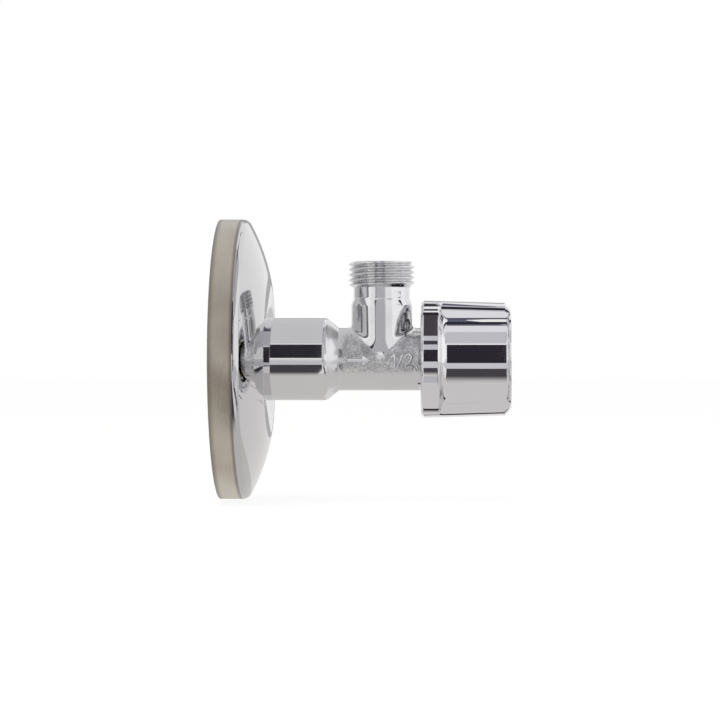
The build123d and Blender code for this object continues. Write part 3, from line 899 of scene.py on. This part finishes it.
black_card = card_material("black_card", (0.03, 0.026, 0.036), 1.0)
dusk_card = card_material("dusk_card", dusk, 1.0)
slate_card = card_material("slate_card", (0.12, 0.13, 0.18), 1.0)
lilac_card = card_material("lilac_card", (0.62, 0.615, 0.655), 1.0)
pale_card = card_material("pale_card", (0.70, 0.70, 0.71), 1.0)
stone_card = card_material("stone_card", stone, 1.0)
chalk_card = card_material("chalk_card", (0.84, 0.825, 0.815), 1.0)
mist_card = card_material("mist_card", (0.66, 0.66, 0.69), 1.0)
haze_card = card_material("haze_card", (0.54, 0.54, 0.57), 1.0)
shade_card = card_material("shade_card", (0.46, 0.46, 0.47), 1.0)
paper_card = card_material("paper_card", (0.86, 0.86, 0.88), 1.0)
bright_card = card_material("bright_card", (1.0, 1.0, 1.0), 1.12)
arc_card("flag_for_collar", [(1.0, 3.1, 39.5), (22, 3.1, 39.5)], 100, black_card)
arc_card("flag_for_skirt", [(46.8, -4.6, 18.7), (54.2, -4.6, 18.7)], 180, black_card)
arc_card("flag_for_grip", [(54.2, -9, 34), (76, -9, 34)], 180, black_card)
arc_card("flag_over_grip", [(54, 88, 106), (58, 87.5, 116), (63, 87, 106), (76, 86, 88)], 200, slate_card)
arc_card("line_over_grip", [(54, 85.5, 88), (58, 85.5, 87.5), (63, 85, 87), (76, 84, 86)], 200, black_card)
arc_card("flag_over_skirt", [(44, 47, 100), (54, 47, 100)], 190, dusk_card)
arc_card("line_over_skirt", [(44, 115, 123), (54, 115, 123)], 190, dusk_card)
arc_card("flag_amid_skirt", [(45, 29, 37), (54, 29, 37)], 190, dusk_card)
arc_card("glow_amid_skirt", [(45, 18.7, 29), (54, 18.7, 29)], 195, lilac_card)
arc_card("sky_over_collar", [(-700, 44, 150), (40, 44, 150)], 700, pale_card)
arc_card("sky_over_knob", [(40, 38, 100), (700, 38, 100)], 700, lilac_card)
flat_card("flag_over_rib", (50, -7.6, 17.2), (26, 0, 0), (0, 1.9, 0), black_card)
flat_card("flag_below_rib", (50, -3.8, -17.2), (26, 0, 0), (0, 2.0, 0), black_card)
flat_card("paper_over_grip", (55.5, -13.8, 17.5), (21, 0, 0), (0, 5.1, 0), paper_card)
flat_card("haze_before_neck", (34.2, -22, 5), (12.1, 0, 0), (0, 0, 21), haze_card)
fading_collar = fading_material("fading_collar", -56, -36)
fading_skirt = fading_material("fading_skirt", -84, -58)
fading_grip = fading_material("fading_grip", -48, -26)
flat_card("flag_under_collar", (2, -134, flag_z), (20.5, 0, 0), (0, 98, 0), fading_collar)
flat_card("flag_under_skirt", (45, -118, flag_z), (10.2, 0, 0), (0, 60, 0), fading_skirt)
flat_card("flag_under_grip", (55.2, -90, flag_z), (19.0, 0, 0), (0, 64, 0), fading_grip)
flat_card("stone_below_collar", (12.8, -3.2, -12.4), (14.2, 0, 0), (0, 9, 0), stone_card)
flat_card("stone_below_tube", (29.5, -2.4, -9.6), (21, 0, 0), (0, 7, 0), stone_card)
flat_card("haze_under_skirt", (45, -72, strip_z), (10.2, 0, 0), (0, 33, 0), haze_card)
flat_card("stone_under_collar", (-300, -48, strip_z), (345, 0, 0), (0, 9, 0), stone_card)
flat_card("stone_under_valve", (-300, -39, strip_z), (1000, 0, 0), (0, 51, 0), stone_card)
flat_card("chalk_behind_valve", (-300, 12, strip_z), (1000, 0, 0), (0, 687, 0), chalk_card)
flat_card("glow_before_collar", (-300, -600, strip_z), (338, 0, 0), (0, 466, 0), mist_card)
flat_card("glow_before_knob", (38, -600, strip_z), (300, 0, 0), (0, 510, 0), mist_card)
flat_card("softbox_right", (420, -420, floor_z), (0, 570, 0), (0, 0, 380), bright_card)
flat_card("softbox_left", (-350, -420, floor_z), (0, 570, 0), (0, 0, 380), bright_card)
flat_card("wall_behind", (-90, 699, floor_z), (200, 0, 0), (0, 0, 410), shade_card)

floor_paint = bpy.data.materials.new("floor_paint")
floor_paint.use_nodes = True
tree = floor_paint.node_tree
shader = tree.nodes["Principled BSDF"]
spot = place(tree, "ShaderNodeTexCoord", {}).outputs["Object"]
floor_tone = blended(tree, grain(tree, spot, 90.0), (0.86, 0.85, 0.83), (0.88, 0.87, 0.855))
tree.links.new(floor_tone, shader.inputs["Base Color"])
shader.inputs["Roughness"].default_value = 0.9
paths = place(tree, "ShaderNodeLightPath", {})
shown = joined(tree, "MAXIMUM", paths.outputs["Is Camera Ray"], paths.outputs["Is Transmission Ray"])
lit = place(tree, "ShaderNodeEmission", {"Strength": 1.045})
paper = place(
    tree,
    "ShaderNodeMixShader",
    {"Fac": joined(tree, "MULTIPLY", shown, 0.85), 1: shader.outputs["BSDF"], 2: lit.outputs["Emission"]},
)
tree.links.new(paper.outputs["Shader"], tree.nodes["Material Output"].inputs["Surface"])
floor_x, floor_y = np.meshgrid(np.linspace(-4000, 4000, 9), np.linspace(-4000, 4000, 9))
floor_grid = np.stack([floor_x, floor_y, np.full_like(floor_x, floor_z)], axis=-1)
stage_card("floor", floor_grid, floor_paint)

world = bpy.data.worlds.new("white_room")
bpy.context.scene.world = world
world.use_nodes = True
tree = world.node_tree
paths = place(tree, "ShaderNodeLightPath", {})
direct = joined(tree, "MAXIMUM", paths.outputs["Is Camera Ray"], paths.outputs["Is Transmission Ray"])
seen = joined(tree, "MAXIMUM", direct, paths.outputs["Is Glossy Ray"])
tree.links.new(rising(tree, seen, 0.0, 1.0, 0.75, 1.0), tree.nodes["Background"].inputs["Strength"])
tree.nodes["Background"].inputs["Color"].default_value = (1.0, 1.0, 1.0, 1.0)

key = bpy.data.lights.new("key_light", "AREA")
key.energy = 3.0
key.size = 0.6
key_light = bpy.data.objects.new("key_light", key)
key_light.location = (-0.15, -0.35, 0.75)
light_aim = Vector((0.035, 0.0, 0.0)) - key_light.location
key_light.rotation_euler = light_aim.to_track_quat("-Z", "Y").to_euler()
key_light.visible_glossy = False
bpy.context.scene.collection.objects.link(key_light)

# Camera: square in front of the knob and aimed at the valve's middle, so that the rosette is seen a
# little from its dome's side.
camera_data = bpy.data.cameras.new("camera")
camera_data.lens = 124.1
camera_data.sensor_width = 36.0
camera_data.clip_end = 20.0
camera = bpy.data.objects.new("camera", camera_data)
camera.location = (0.062, -0.630, 0.0)
camera_aim = Vector((0.0354, 0.0, -0.0002)) - camera.location
camera.rotation_euler = camera_aim.to_track_quat("-Z", "Y").to_euler()
bpy.context.scene.collection.objects.link(camera)
bpy.context.scene.camera = camera
bpy.context.scene.view_settings.view_transform = "Standard"
